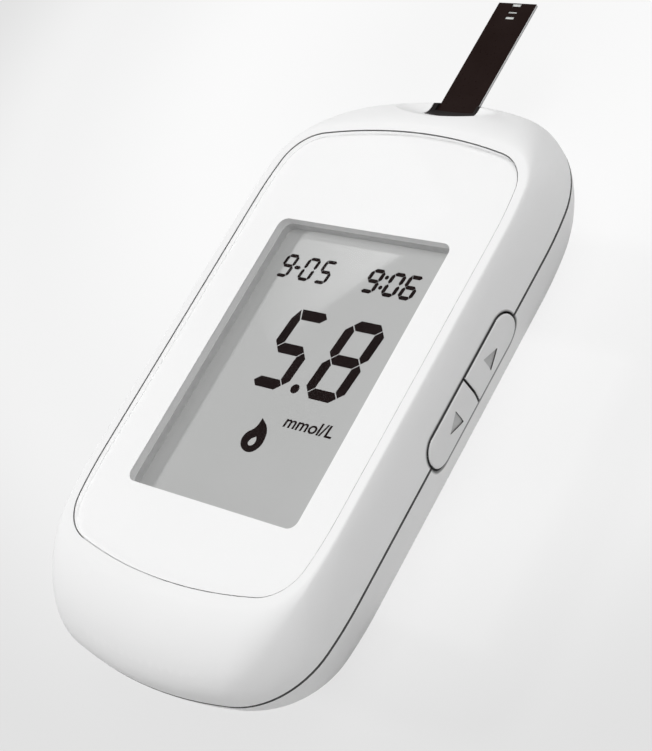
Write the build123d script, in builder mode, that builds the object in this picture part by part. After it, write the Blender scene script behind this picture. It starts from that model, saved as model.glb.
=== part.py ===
from build123d import *

import math
import os

# Blood glucose meter, in millimetres. +Z points out of the display, +Y towards the strip port,
# and the origin is the centre of the flat back that the meter rests on.

# Outer body
body_length = 97.2
body_width = 49.9
wall = 1.8
seam_below_board = 0.6  # the plane where the two shells meet, below the board's lower face
seam_gap = 0.25  # height of the shadow gap round the seam
seam_depth = 0.4  # how far that gap reaches into the wall
seam_edge = 0.2  # bevel of the lower shell's edge at the gap
shoulder_rise = 1.4  # the walls keep their full width this far above the seam
lip_inset = 1.05  # outer face of the lower shell's lip, in from the wall's outer face
lip_height = 1.0
fit_gap = 0.1  # clearance between pieces that drop into each other
run_gap = 0.2  # clearance between pieces that move past each other

# Shape of the outline and of the body's profiles
end_angle = 12.7  # half of what each bowed end turns through, in degrees
side_angle = 7.8  # what each side bends through before its corner, in degrees
side_radius = 56.0
port_corner = 16.4
chin_corner = 13.0
back_corner = 8.5
side_fullness = 2.3  # superellipse exponents: 1 is a straight slope, 2 a quarter ellipse
port_fullness = 1.5
chin_fullness = 1.65
back_fullness = 1.4
side_in = 1.2  # how far the flat face lies inside the full outline
port_in = 9.05
chin_in = 10.75
back_in_side = 7.96  # how far the flat back lies inside the full outline
back_in_port = 9.0
back_in_chin = 8.6
profile_steps = 8  # outlines stacked between the widest level and each flat face

# Face: clear lens, printed film and the display window
band = 1.25  # flat rim of the upper shell round the lens
panel_corner = 6.9
panel_gap = 0.16
lens_thickness = 0.9
lens_edge = 0.12
film_thickness = 0.15
roof_thickness = 1.2  # of the upper shell under the lens
window_in_side = 6.35  # from the lens's edge to the window
window_in_port = 17.05
window_in_chin = 12.15
window_corner = 1.5

# Display module
gasket_thickness = 1.25
gasket_rim = 1.7
glass_thickness = 1.1
glass_rim = 1.9  # glass beyond the window on each side
contact_ledge = 3.0  # front glass beyond the back glass, towards the chin
reflector_thickness = 0.15
holder_wall = 1.3
holder_lip = 1.5
connector_length = 30.0
connector_width = 1.8

# Circuit board and what it carries
board_room = 1.15  # between the board and the display's reflector
board_gap = 0.2  # between the board and the battery bay
board_thickness = 1.0
board_rim = 0.4  # board beyond the switches
board_in_port = 0.35  # between the board and the block that the strip comes through
board_in_chin = 13.2  # from the chin end of the body
board_corner = 8.0
board_chin_corner = 3.0
chip_thickness = 0.9
processor_size = 10.0
processor_y = -8.0
memory_size = (5.0, 4.0)
memory_place = (9.0, 5.0)
crystal_size = (3.2, 1.5)
crystal_place = (-9.0, 3.0)
capacitor_size = (1.6, 0.8, 0.8)
capacitor_inset = 9.15  # from the port end of the glass
capacitor_pitch = (4.0, 3.0)
buzzer_radius = 6.0
buzzer_height = 5.0
buzzer_hole = 1.0
buzzer_room = 4.3  # between the buzzer and the battery bay

# Side buttons, one above the other in one slot
slot_length = 24.6
slot_height = 6.15
slot_y = 4.2
button_travel = 0.6
button_proud = 0.2
button_round = 0.3
button_gap = 0.3  # round each button in the slot, and between the two
flange_room = 1.55  # between the wall and the flange that keeps a button in
flange_thickness = 0.8
flange_rim = 0.8
stem_length = 0.6
stem_radius = 1.2
triangle_length = 2.9
triangle_width = 2.7
triangle_y = 5.55  # middle of each triangle from the middle of the slot
triangle_depth = 0.2
switch_depth = 3.6
switch_width = 6.0
switch_height = 3.0
switch_clearance = 0.05  # left when a button is fully pressed
plunger_length = 0.55
plunger_radius = 0.9

# Batteries, bay and door
battery_radius = 5.15
battery_length = 44.5
nub_radius = 1.9
nub_length = 0.9
battery_pitch = 11.0
battery_gap = 0.15  # between a battery and the bay or door
bay_in_chin = 12.5  # from the chin end of the body
bay_wall = 1.2
ceiling = 0.8
bay_side_gap = 0.45
contact_thickness = 0.4
contact_size = 8.0
tail_width = 3.0
spring_room = 3.3  # between a battery's flat end and its contact plate
spring_wire = 0.3
spring_wide = 3.6
spring_pitch = 1.05
spring_taper = 22.0
spring_root = 0.1  # how far a spring's first turn sinks into its plate
spring_clearance = 0.05
door_rim = 1.7  # door beyond the bay on each side
door_overlap = 0.8  # door beyond the bay towards the port
door_top = 9.0  # how far the door wraps up round the chin
tongue = 1.0
tongue_low = 0.9
tongue_high = 1.7
tongue_length = 6.0
tongue_inset = 4.0  # middle of the first tongue from the door's port end
tongue_pitch = 20.25
tongue_count = 3
grip_count = 5
grip_pitch = 2.2
grip_length = 12.0
grip_depth = 0.4
grip_inset = 7.5  # middle of the grip from the door's port end
ledge_low = 2.3
ledge_thickness = 1.0
ledge_reach = 0.4  # how far the ledges run on past the flat back
chin_plate_low = 6.5
chin_plate_thickness = 1.2
chin_plate_depth = 4.7

# Fasteners
screw_shank = 1.0
screw_head = 1.7
screw_head_height = 1.3
screw_length = 8.0
screw_hole = 1.05
head_clearance = 0.3
boss_radius = 2.2
boss_root = 0.3  # how far a boss runs into the roof
port_screw_in_side = 12.95  # from the body's side and from its port end
port_screw_in_end = 14.6
port_seat = 8.0
port_boss_radius = 3.2
port_boss_top = 12.4
board_screw_shank = 0.75
board_screw_head = 1.6
board_screw_head_height = 1.0
board_screw_length = 4.5
board_screw_hole = 0.8
board_boss_radius = 1.9
port_board_screw = (2.9, 10.9)  # in from the board's side and end
chin_board_screw = (2.7, 2.1)  # out from the battery bay and in from the board's end

# Test strip and its port
strip_width = 7.0
strip_length = 36.05
strip_above_board = 2.0  # upper face of the strip
strip_depth = 9.25  # how far the strip reaches in behind the port's block
base_thickness = 0.3
track_thickness = 0.05
track_width = 1.1
track_count = 4
track_pitch = 1.6
track_length = 7.0
spacer_thickness = 0.1
cover_thickness = 0.1
sample_width = 1.6
sample_windows = ((0.35, 0.55), (1.8, 0.33), (2.85, 0.5))  # middle from the strip's end, and length
sample_channel = 3.4  # length of the channel that draws the sample in
strip_slot_gap = 0.07
scoop_in_port = 2.2  # from the body's port end to where the scoop's floor starts to rise
scoop_above_strip = 0.15
scoop_radius = 2.8  # from the scoop's floor up into its inner slope
scoop_slope = 54.5  # of that inner slope, in degrees
scoop_side_radius = 30.0  # of the scoop's floor from side to side
scoop_rim = 0.5
scoop_floor_thickness = 2.3
port_block_depth = 8.35  # from the body's port end to the back of the block that holds the bezel
port_block_side = 6.5  # that block beyond the strip on each side
collar_length = 1.8
collar_side = 1.5  # bezel's collar beyond the strip on each side
nose_side = 0.8  # the same of its nose
bezel_below = 1.4
bezel_above = 1.35
lip_in_port = 2.8  # from the body's port end to the lip that the strip comes out under
housing_side = 2.8
housing_inner = 3.5  # housing beyond the strip's inner end
housing_height = 3.2
pin_width = 0.7
pin_thickness = 0.2
pin_reach = 3.0  # how far a pin lies over the strip
pin_clearance = 0.06

# Levels, from the flat back upwards: the batteries, the board and the display set the height.
battery_z = wall + battery_gap + battery_radius
bay_top = battery_z + battery_radius + battery_gap
board_low = bay_top + ceiling + board_gap
board_height = board_low + board_thickness
reflector_low = board_height + board_room
back_glass_low = reflector_low + reflector_thickness
front_glass_low = back_glass_low + glass_thickness
gasket_low = front_glass_low + glass_thickness
roof_height = gasket_low + gasket_thickness
lens_floor = roof_height + roof_thickness
body_height = lens_floor + film_thickness + lens_thickness
seam_height = board_low - seam_below_board
seam_low = seam_height - seam_gap
slot_z = seam_height - seam_gap / 2  # the buttons straddle the seam
shoulder_height = seam_height + shoulder_rise
chin_boss_low = chin_plate_low + chin_plate_thickness
strip_top = board_height + strip_above_board
strip_low = strip_top - cover_thickness - spacer_thickness - base_thickness
strip_face = strip_low + base_thickness
scoop_floor = strip_top + scoop_above_strip

# Outline, lens and display
half_width = body_width / 2
half_length = body_length / 2
panel_width = body_width - 2 * (side_in + band)
panel_length = body_length - port_in - chin_in - 2 * band
panel_offset = (chin_in - port_in) / 2
face_corner = panel_corner + band
window_width = panel_width - 2 * window_in_side
window_length = panel_length - window_in_port - window_in_chin
window_offset = panel_offset + (window_in_chin - window_in_port) / 2
glass_half_width = window_width / 2 + glass_rim
glass_port_end = window_offset + window_length / 2 + glass_rim
glass_chin_end = window_offset - window_length / 2 - glass_rim

# Buttons, switches and board
flange_outer = half_width - wall - flange_room
stem_end = flange_outer - flange_thickness - stem_length
switch_outer = stem_end - button_travel - switch_clearance - plunger_length
board_half_width = switch_outer + board_rim
port_block_end = half_length - port_block_depth
board_port_end = port_block_end - board_in_port
board_chin_end = board_in_chin - half_length
port_screw = (half_width - port_screw_in_side, half_length - port_screw_in_end)

# Battery bay and door
bay_side = battery_pitch / 2 + battery_radius + bay_side_gap
bay_chin_end = bay_in_chin - half_length
bay_port_end = bay_chin_end + battery_length + spring_room + 2 * contact_thickness
bay_block_side = bay_side + bay_wall
bay_block_port_end = bay_port_end + bay_wall
bay_block_chin_end = bay_chin_end - bay_wall
chin_screw = (bay_block_side - boss_radius - fit_gap, bay_block_chin_end - boss_radius - fit_gap)
board_screws = (
    (board_half_width - port_board_screw[0], board_port_end - port_board_screw[1]),
    (bay_block_side + chin_board_screw[0], board_chin_end + chin_board_screw[1]),
)
door_half_width = bay_block_side + door_rim
door_port_end = bay_block_port_end + door_overlap
tongue_places = [door_port_end - tongue_inset - number * tongue_pitch for number in range(tongue_count)]
buzzer_y = bay_block_port_end + buzzer_room + buzzer_radius

# Test strip and its port
strip_side = strip_width / 2
strip_inner_end = port_block_end - strip_depth
strip_outer_end = strip_inner_end + strip_length


def rise(share, fullness):
    """How far a superellipse has come in, from 0 to 1, at a share of its height."""
    return 1 - (1 - min(share, 1.0) ** fullness) ** (1 / fullness)


def between(start, end, share):
    return start + (end - start) * share


def quarter(width, end, corner, side):
    """Points of one quarter outline: end arc, corner arc and side arc, each tangent to the next."""
    bow, bend = math.radians(end_angle), math.radians(side_angle)
    reach = width - corner * math.cos(bend) - side * (1 - math.cos(bend))
    end_radius = corner + reach / math.sin(bow)
    corner_x = (end_radius - corner) * math.sin(bow)
    corner_y = end - end_radius + (end_radius - corner) * math.cos(bow)
    side_x = width - side
    side_y = corner_y - (side - corner) * math.sin(bend)
    quarter_turn = math.pi / 2
    turns = (bow, (bow + quarter_turn - bend) / 2, quarter_turn - bend)
    points = [(corner_x + corner * math.sin(t), corner_y + corner * math.cos(t)) for t in turns]
    turns = (quarter_turn - bend / 2, quarter_turn)
    points += [(side_x + side * math.sin(t), side_y + side * math.cos(t)) for t in turns]
    return points


def outline(width, port_end, chin_end, port_radius, chin_radius, side):
    """A face with bowed ends and long soft sides, symmetric about X = 0."""
    port = quarter(width, port_end, port_radius, side)
    chin = [(x, -y) for x, y in quarter(width, -chin_end, chin_radius, side)]
    with BuildSketch() as drawn:
        with BuildLine():
            for points, end in ((port, port_end), (chin, chin_end)):
                x, y = points[0]
                ThreePointArc((-x, y), (0, end), (x, y))
                for flip in (1, -1):
                    places = [(flip * px, py) for px, py in points]
                    ThreePointArc(*places[:3])
                    ThreePointArc(*places[2:])
            for flip in (1, -1):
                Line((flip * port[-1][0], port[-1][1]), (flip * chin[-1][0], chin[-1][1]))
        make_face()
    return drawn.sketch


def full_outline(inset):
    """The body's widest outline, moved inwards."""
    return outline(
        half_width - inset,
        half_length - inset,
        inset - half_length,
        port_corner - inset,
        chin_corner - inset,
        side_radius - inset,
    )


def panel_outline(inset):
    """The lens recess in the face, moved inwards."""
    return outline(
        panel_width / 2 - inset,
        panel_offset + panel_length / 2 - inset,
        panel_offset - panel_length / 2 + inset,
        panel_corner - inset,
        panel_corner - inset,
        side_radius - inset,
    )


def upper_body(inset, top):
    """The body above the seam, with every wall moved inwards and a flat top."""
    with BuildPart() as body:
        with BuildSketch(Plane.XY.offset(seam_height)):
            add(full_outline(inset))
        for step in range(profile_steps + 1):
            share = math.sin(math.pi / 2 * step / profile_steps)
            port_share, chin_share = rise(share, port_fullness), rise(share, chin_fullness)
            with BuildSketch(Plane.XY.offset(between(shoulder_height, top, share))):
                level = outline(
                    half_width - inset - side_in * rise(share, side_fullness),
                    half_length - inset - port_in * port_share,
                    inset - half_length + chin_in * chin_share,
                    between(port_corner, face_corner, port_share) - inset,
                    between(chin_corner, face_corner, chin_share) - inset,
                    side_radius - inset,
                )
                add(level)
        loft()
    return body.part


def lower_body(inset):
    """The body below the seam, with every wall and the back moved inwards."""
    with BuildPart() as body:
        for step in range(profile_steps + 1):
            share = math.sin(math.pi / 2 * step / profile_steps)
            back_share = rise(share, back_fullness)
            with BuildSketch(Plane.XY.offset(between(seam_low, inset, share))):
                level = outline(
                    half_width - inset - back_in_side * back_share,
                    half_length - inset - back_in_port * back_share,
                    inset - half_length + back_in_chin * back_share,
                    between(port_corner, back_corner, back_share) - inset,
                    between(chin_corner, back_corner, back_share) - inset,
                    side_radius - inset,
                )
                add(level)
        loft()
    return body.part


def block(low, high, mode=Mode.ADD):
    """A box given by its lowest and highest corners."""
    size = [h - l for l, h in zip(low, high)]
    with Locations(tuple((l + h) / 2 for l, h in zip(low, high))):
        Box(*size, mode=mode)


def post(x, y, low, high, radius, mode=Mode.ADD):
    """An upright cylinder."""
    with Locations((x, y, (low + high) / 2)):
        Cylinder(radius, high - low, mode=mode)


def both_sides(place):
    x, y = place
    return ((x, y), (-x, y))


def mirrored(places):
    return [spot for place in places for spot in both_sides(place)]


def whole_body(inset):
    """Both shells and the seam between them as one solid, moved inwards."""
    with BuildPart() as body:
        add(upper_body(inset, body_height))
        add(lower_body(inset))
        with BuildSketch(Plane.XY.offset(seam_low)):
            add(full_outline(inset))
        extrude(amount=seam_gap)
    return body.part


def spring(x, plate, cell):
    """A conical coil that narrows from its contact plate to the flat end of a battery."""
    way = math.copysign(1, cell - plate)
    start = plate + way * (spring_wire - spring_root)
    end = cell - way * (spring_wire + spring_clearance)
    with BuildPart() as coil:
        with BuildLine() as path:
            Helix(
                spring_pitch,
                abs(end - start),
                spring_wide,
                center=(x, start, battery_z),
                direction=(0, way, 0),
                cone_angle=-spring_taper,
            )
        with BuildSketch(Plane(origin=path.line @ 0, z_dir=path.line % 0)):
            Circle(spring_wire)
        sweep(path=path.line, is_frenet=True)
    return coil.part


def save(piece, name):
    piece.part.label = name
    export_step(piece.part, f"parts/{name}.step")


os.makedirs("parts", exist_ok=True)

# Upper shell: the face, its side walls and the scoop that the strip comes out of.
# The roof and a block behind the strip port are left standing when the inside is hollowed.
upper_outside = upper_body(0, body_height)
port_block_half_width = strip_side + port_block_side
collar_half_width = strip_side + collar_side
collar_end = port_block_end + collar_length
nose_half_width = strip_side + nose_side
bezel_low = strip_top - bezel_below
bezel_high = strip_top + bezel_above

with BuildPart() as button_slot:
    with BuildSketch(Plane.YZ.offset(flange_outer)):
        with Locations((slot_y, slot_z)):
            SlotOverall(slot_length, slot_height)
    extrude(amount=half_width)

# A broad, shallow scoop round the test strip: its profile turned about a line far above the port.
scoop_axis = scoop_floor + scoop_side_radius
with BuildPart() as strip_scoop:
    with BuildSketch(Plane.YZ):
        with BuildLine():
            foot = Line((half_length, scoop_floor), (half_length - scoop_in_port, scoop_floor))
            bend = JernArc(foot @ 1, (-1, 0), scoop_radius, -scoop_slope)
            slope = PolarLine(bend @ 1, body_height - scoop_floor, direction=bend % 1)
            Polyline(slope @ 1, ((slope @ 1).X, scoop_axis), (half_length, scoop_axis), foot @ 0)
        make_face()
    revolve(axis=Axis((0, 0, scoop_axis), (0, 1, 0)))

with BuildPart() as upper_cavity:
    add(upper_body(wall, roof_height))
    block(
        (-port_block_half_width, port_block_end, scoop_floor - scoop_floor_thickness),
        (port_block_half_width, half_length, body_height),
        Mode.SUBTRACT,
    )

with BuildPart() as upper_shell:
    add(upper_outside)
    add(upper_cavity.part, mode=Mode.SUBTRACT)
    # rebate for the lower shell's lip
    with BuildSketch(Plane.XY.offset(seam_height)):
        add(full_outline(lip_inset - fit_gap))
    extrude(amount=lip_height + fit_gap, mode=Mode.SUBTRACT)
    # bosses for the case screws and the board screws
    for x, y in both_sides(port_screw):
        post(x, y, port_boss_top, roof_height + boss_root, boss_radius)
        post(x, y, port_boss_top, roof_height, screw_hole, Mode.SUBTRACT)
    for x, y in both_sides(chin_screw):
        post(x, y, chin_boss_low, roof_height + boss_root, boss_radius)
        post(x, y, chin_boss_low, roof_height - roof_thickness, screw_hole, Mode.SUBTRACT)
    for x, y in mirrored(board_screws):
        post(x, y, board_height, roof_height + boss_root, board_boss_radius)
        post(x, y, board_height, roof_height, board_screw_hole, Mode.SUBTRACT)
    # recess for the lens, and the display window below it
    with BuildSketch(Plane.XY.offset(lens_floor)):
        add(panel_outline(0))
    extrude(amount=body_height - lens_floor, mode=Mode.SUBTRACT)
    with BuildSketch(Plane.XY.offset(roof_height)):
        with Locations((0, window_offset)):
            RectangleRounded(window_width + fit_gap, window_length + fit_gap, window_corner)
    extrude(amount=roof_thickness, mode=Mode.SUBTRACT)
    add(strip_scoop.part, mode=Mode.SUBTRACT)
    fillet(upper_shell.edges(Select.LAST).filter_by(GeomType.BSPLINE), scoop_rim)
    # holes for the port bezel's collar and nose
    block(
        (-collar_half_width - fit_gap, port_block_end, bezel_low - fit_gap),
        (collar_half_width + fit_gap, collar_end, bezel_high + fit_gap),
        Mode.SUBTRACT,
    )
    block(
        (-nose_half_width - fit_gap, collar_end, bezel_low - fit_gap),
        (nose_half_width + fit_gap, half_length, bezel_high + fit_gap),
        Mode.SUBTRACT,
    )
    add(button_slot.part, mode=Mode.SUBTRACT)
save(upper_shell, "upper_shell")

# Lower shell: side walls, the lip that enters the upper shell, and the battery bay.
lower_outside = lower_body(0)
lower_inside = lower_body(wall)

with BuildPart() as door_space:
    block(
        (-door_half_width - run_gap, -half_length, -run_gap),
        (door_half_width + run_gap, door_port_end + run_gap, door_top + run_gap),
    )
    add(lower_body(wall + run_gap), mode=Mode.SUBTRACT)
    groove_side = door_half_width + tongue + run_gap
    groove_end = tongue_places[0] + tongue_length / 2 + run_gap
    block(
        (-groove_side, -half_length, tongue_low - run_gap),
        (groove_side, groove_end, tongue_high + run_gap),
    )

with BuildPart() as lower_shell:
    add(lower_outside)
    chamfer(lower_shell.faces().sort_by(Axis.Z)[-1].edges(), seam_edge)
    with BuildSketch(Plane.XY.offset(seam_low)):
        add(full_outline(seam_depth))
    extrude(amount=seam_gap)
    with BuildSketch(Plane.XY.offset(seam_height)):
        add(full_outline(lip_inset))
    extrude(amount=lip_height)
    add(lower_inside, mode=Mode.SUBTRACT)
    with BuildSketch(Plane.XY.offset(seam_low)):
        add(full_outline(wall))
    extrude(amount=seam_gap + lip_height, mode=Mode.SUBTRACT)
    ledge_side = half_width - back_in_side + ledge_reach
    # battery bay, the ledges that tie it to the side walls, and a plate for the chin screws
    block(
        (-bay_block_side, bay_block_chin_end, 0),
        (bay_block_side, bay_block_port_end, bay_top + ceiling),
    )
    block(
        (-ledge_side, bay_chin_end, ledge_low),
        (ledge_side, bay_block_port_end, ledge_low + ledge_thickness),
    )
    block(
        (-bay_block_side, bay_block_chin_end - chin_plate_depth, chin_plate_low),
        (bay_block_side, bay_block_chin_end, chin_boss_low),
    )
    block(
        (-bay_side, bay_chin_end, 0),
        (bay_side, bay_port_end, bay_top),
        Mode.SUBTRACT,
    )
    for x, _ in both_sides((battery_pitch / 2, 0)):
        block(
            (x - tail_width / 2 - fit_gap, bay_port_end - contact_thickness - fit_gap, bay_top),
            (x + tail_width / 2 + fit_gap, bay_port_end, bay_top + ceiling),
            Mode.SUBTRACT,
        )
    # bosses and seats for the case screws
    for x, y in both_sides(port_screw):
        post(x, y, wall / 2, port_boss_top, port_boss_radius)
        post(x, y, 0, port_seat, screw_head + head_clearance, Mode.SUBTRACT)
        post(x, y, port_seat, port_boss_top, screw_hole, Mode.SUBTRACT)
    for x, y in both_sides(chin_screw):
        post(x, y, chin_plate_low, chin_boss_low, screw_hole, Mode.SUBTRACT)
    add(button_slot.part, mode=Mode.SUBTRACT)
    add(door_space.part, mode=Mode.SUBTRACT)
save(lower_shell, "lower_shell")

# Battery door: it covers the bay, wraps up round the chin and slides off that way.
with BuildPart() as battery_door:
    add(lower_outside)
    add(lower_inside, mode=Mode.SUBTRACT)
    block(
        (-door_half_width, -half_length, 0),
        (door_half_width, door_port_end, door_top),
        Mode.INTERSECT,
    )
    tongue_side = door_half_width + tongue
    for y in tongue_places:
        block(
            (-tongue_side, y - tongue_length / 2, tongue_low),
            (tongue_side, y + tongue_length / 2, tongue_high),
        )
    for number in range(grip_count):
        y = door_port_end - grip_inset + (number - (grip_count - 1) / 2) * grip_pitch
        block(
            (-grip_length / 2, y - grip_pitch / 4, 0),
            (grip_length / 2, y + grip_pitch / 4, grip_depth),
            Mode.SUBTRACT,
        )
save(battery_door, "battery_door")

# Clear lens over the whole face, and the white film behind it with the display window.
with BuildPart() as mask_film:
    with BuildSketch(Plane.XY.offset(lens_floor)):
        add(panel_outline(panel_gap))
        with Locations((0, window_offset)):
            RectangleRounded(window_width, window_length, window_corner, mode=Mode.SUBTRACT)
    extrude(amount=film_thickness)
save(mask_film, "mask_film")

with BuildPart() as face_lens:
    with BuildSketch(Plane.XY.offset(lens_floor + film_thickness)):
        add(panel_outline(panel_gap))
    extrude(amount=lens_thickness)
    chamfer(face_lens.faces().sort_by(Axis.Z)[-1].edges(), lens_edge)
save(face_lens, "face_lens")

# Display module: gasket, the two glasses of the cell, reflector, holder and its connector.
with BuildPart() as lcd_gasket:
    with BuildSketch(Plane.XY.offset(gasket_low)):
        with Locations((0, window_offset)):
            Rectangle(window_width + 2 * gasket_rim, window_length + 2 * gasket_rim)
            RectangleRounded(window_width, window_length, window_corner, mode=Mode.SUBTRACT)
    extrude(amount=gasket_thickness)
save(lcd_gasket, "lcd_gasket")

with BuildPart() as lcd_front_glass:
    block(
        (-glass_half_width, glass_chin_end - contact_ledge, front_glass_low),
        (glass_half_width, glass_port_end, gasket_low),
    )
save(lcd_front_glass, "lcd_front_glass")

with BuildPart() as lcd_back_glass:
    block(
        (-glass_half_width, glass_chin_end, back_glass_low),
        (glass_half_width, glass_port_end, front_glass_low),
    )
save(lcd_back_glass, "lcd_back_glass")

with BuildPart() as lcd_reflector:
    block(
        (-glass_half_width, glass_chin_end, reflector_low),
        (glass_half_width, glass_port_end, back_glass_low),
    )
save(lcd_reflector, "lcd_reflector")

connector_y = glass_chin_end - contact_ledge / 2

with BuildPart() as lcd_holder:
    grip = fit_gap + holder_wall
    block(
        (-glass_half_width - grip, glass_chin_end - contact_ledge - grip, board_height),
        (glass_half_width + grip, glass_port_end + grip, roof_height),
    )
    block(
        (-glass_half_width - fit_gap, glass_chin_end - contact_ledge - fit_gap, front_glass_low),
        (glass_half_width + fit_gap, glass_port_end + fit_gap, roof_height),
        Mode.SUBTRACT,
    )
    block(
        (-glass_half_width - fit_gap, glass_chin_end - fit_gap, reflector_low),
        (glass_half_width + fit_gap, glass_port_end + fit_gap, front_glass_low),
        Mode.SUBTRACT,
    )
    block(
        (holder_lip - glass_half_width, glass_chin_end + holder_lip, board_height),
        (glass_half_width - holder_lip, glass_port_end - holder_lip, reflector_low),
        Mode.SUBTRACT,
    )
    connector_side = connector_length / 2 + fit_gap
    connector_depth = connector_width / 2 + fit_gap
    block(
        (-connector_side, connector_y - connector_depth, board_height),
        (connector_side, connector_y + connector_depth, front_glass_low),
        Mode.SUBTRACT,
    )
save(lcd_holder, "lcd_holder")

with BuildPart() as lcd_connector:
    block(
        (-connector_length / 2, connector_y - connector_width / 2, board_height),
        (connector_length / 2, connector_y + connector_width / 2, front_glass_low),
    )
save(lcd_connector, "lcd_connector")

# Circuit board, hung from the upper shell's bosses, and the parts soldered to it.
with BuildPart() as main_board:
    with BuildSketch(Plane.XY.offset(board_low)) as board_sketch:
        with Locations((0, (board_port_end + board_chin_end) / 2)):
            Rectangle(2 * board_half_width, board_port_end - board_chin_end)
        corners = board_sketch.vertices().group_by(Axis.Y)
        fillet(corners[-1], board_corner)
        fillet(corners[0], board_chin_corner)
        with Locations(*both_sides(port_screw)):
            Circle(boss_radius + head_clearance, mode=Mode.SUBTRACT)
        with Locations(*mirrored(board_screws)):
            Circle(board_screw_hole, mode=Mode.SUBTRACT)
    extrude(amount=board_thickness)
save(main_board, "main_board")


def chip(place, length, width, height):
    """A flat component on the upper face of the board."""
    x, y = place
    block(
        (x - length / 2, y - width / 2, board_height),
        (x + length / 2, y + width / 2, board_height + height),
    )


with BuildPart() as processor:
    chip((0, processor_y), processor_size, processor_size, chip_thickness)
save(processor, "processor")

with BuildPart() as memory_chip:
    chip(memory_place, *memory_size, chip_thickness)
save(memory_chip, "memory_chip")

with BuildPart() as clock_crystal:
    chip(crystal_place, *crystal_size, chip_thickness)
save(clock_crystal, "clock_crystal")

with BuildPart() as board_capacitors:
    for column in (-1, 0, 1):
        for row in (0, 1):
            x = column * capacitor_pitch[0]
            y = glass_port_end - capacitor_inset + row * capacitor_pitch[1]
            chip((x, y), *capacitor_size)
save(board_capacitors, "board_capacitors")

with BuildPart() as buzzer:
    post(0, buzzer_y, board_low - buzzer_height, board_low, buzzer_radius)
    post(0, buzzer_y, board_low - buzzer_height, board_low - board_thickness, buzzer_hole, Mode.SUBTRACT)
save(buzzer, "buzzer")

# Two buttons share the slot in the side: each is a key, a flange inside the wall and a stem.
raised_body = whole_body(-button_proud)
plain_body = whole_body(triangle_depth - button_proud)
button_y = slot_length / 4


def button(way):
    """One button; way is 1 for the key nearer the strip port and -1 for the other."""
    y = slot_y + way * button_y
    edge = slot_y + way * button_gap / 2
    far = slot_y + way * (slot_length / 2 + flange_rim)
    with BuildPart() as key:
        with BuildSketch(Plane.YZ.offset(flange_outer)):
            with Locations((slot_y, slot_z)):
                SlotOverall(slot_length - 2 * button_gap, slot_height - 2 * button_gap)
        extrude(amount=half_width)
        add(raised_body, mode=Mode.INTERSECT)
        low, high = sorted((edge, far))
        block((0, low, 0), (body_width, high, body_height), Mode.INTERSECT)
        outer = key.edges().filter_by(lambda line: line.center().X > half_width - wall / 2)
        fillet(outer, button_round)
        with BuildSketch(Plane.YZ.offset(flange_outer - flange_thickness)):
            with Locations((slot_y, slot_z)):
                SlotOverall(slot_length + 2 * flange_rim, slot_height + 2 * flange_rim)
        extrude(amount=flange_thickness)
        block((0, low, 0), (body_width, high, body_height), Mode.INTERSECT)
        with Locations(Location((flange_outer - flange_thickness - stem_length / 2, y, slot_z), (0, 90, 0))):
            Cylinder(stem_radius, stem_length)
    with BuildPart() as mark:
        with BuildSketch(Plane.YZ.offset(flange_outer)):
            with Locations((slot_y + way * triangle_y, slot_z)):
                tip, back = way * triangle_length / 2, -way * triangle_length / 2
                Polygon((tip, 0), (back, triangle_width / 2), (back, -triangle_width / 2), align=None)
        extrude(amount=half_width)
        add(plain_body, mode=Mode.SUBTRACT)
    with BuildPart() as finished:
        add(key.part)
        add(mark.part, mode=Mode.SUBTRACT)
    return finished


def switch(way):
    """The push switch behind one button, on the underside of the board."""
    y = slot_y + way * button_y
    with BuildPart() as made:
        block(
            (switch_outer - switch_depth, y - switch_width / 2, board_low - switch_height),
            (switch_outer, y + switch_width / 2, board_low),
        )
        place = (switch_outer + plunger_length / 2, y, board_low - switch_height / 2)
        with Locations(Location(place, (0, 90, 0))):
            Cylinder(plunger_radius, plunger_length)
    return made


save(button(1), "button_up")
save(button(-1), "button_down")
save(switch(1), "switch_up")
save(switch(-1), "switch_down")


# Two cells lie side by side and point opposite ways.
def battery(x, positive, negative):
    """One cell along Y, from its flat negative end to the nub at its positive end."""
    way = math.copysign(1, positive - negative)
    shoulder = positive - way * nub_length
    with BuildPart() as cell:
        with Locations(Location((x, (shoulder + negative) / 2, battery_z), (90, 0, 0))):
            Cylinder(battery_radius, battery_length - nub_length)
        with Locations(Location((x, (positive + shoulder) / 2, battery_z), (90, 0, 0))):
            Cylinder(nub_radius, nub_length)
    return cell


port_plate = bay_port_end - contact_thickness
chin_plate = bay_chin_end + contact_thickness
battery_x = battery_pitch / 2
save(battery(battery_x, port_plate, port_plate - battery_length), "battery_right")
save(battery(-battery_x, chin_plate, chin_plate + battery_length), "battery_left")


def contact(x):
    """A plate against the bay's port end, with a tail up to the board."""
    half = contact_size / 2
    block((x - half, port_plate, battery_z - half), (x + half, bay_port_end, battery_z + half))
    tail = tail_width / 2
    block((x - tail, port_plate, battery_z), (x + tail, bay_port_end, board_low))


with BuildPart() as positive_contact:
    contact(battery_x)
save(positive_contact, "positive_contact")

with BuildPart() as negative_contact:
    contact(-battery_x)
    add(spring(-battery_x, port_plate, chin_plate + battery_length))
save(negative_contact, "negative_contact")

with BuildPart() as link_contact:
    half = contact_size / 2
    block(
        (-battery_x - half, bay_chin_end, battery_z - half),
        (battery_x + half, chin_plate, battery_z + half),
    )
    add(spring(battery_x, chin_plate, port_plate - battery_length))
save(link_contact, "link_contact")


# Screws, all driven upwards from the back.
def screw(x, y, seat, head, head_height, shank, length):
    post(x, y, seat - head_height, seat, head)
    post(x, y, seat, seat + length, shank)


with BuildPart() as case_screws:
    for places, seat in ((both_sides(port_screw), port_seat), (both_sides(chin_screw), chin_plate_low)):
        for x, y in places:
            screw(x, y, seat, screw_head, screw_head_height, screw_shank, screw_length)
save(case_screws, "case_screws")

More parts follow.
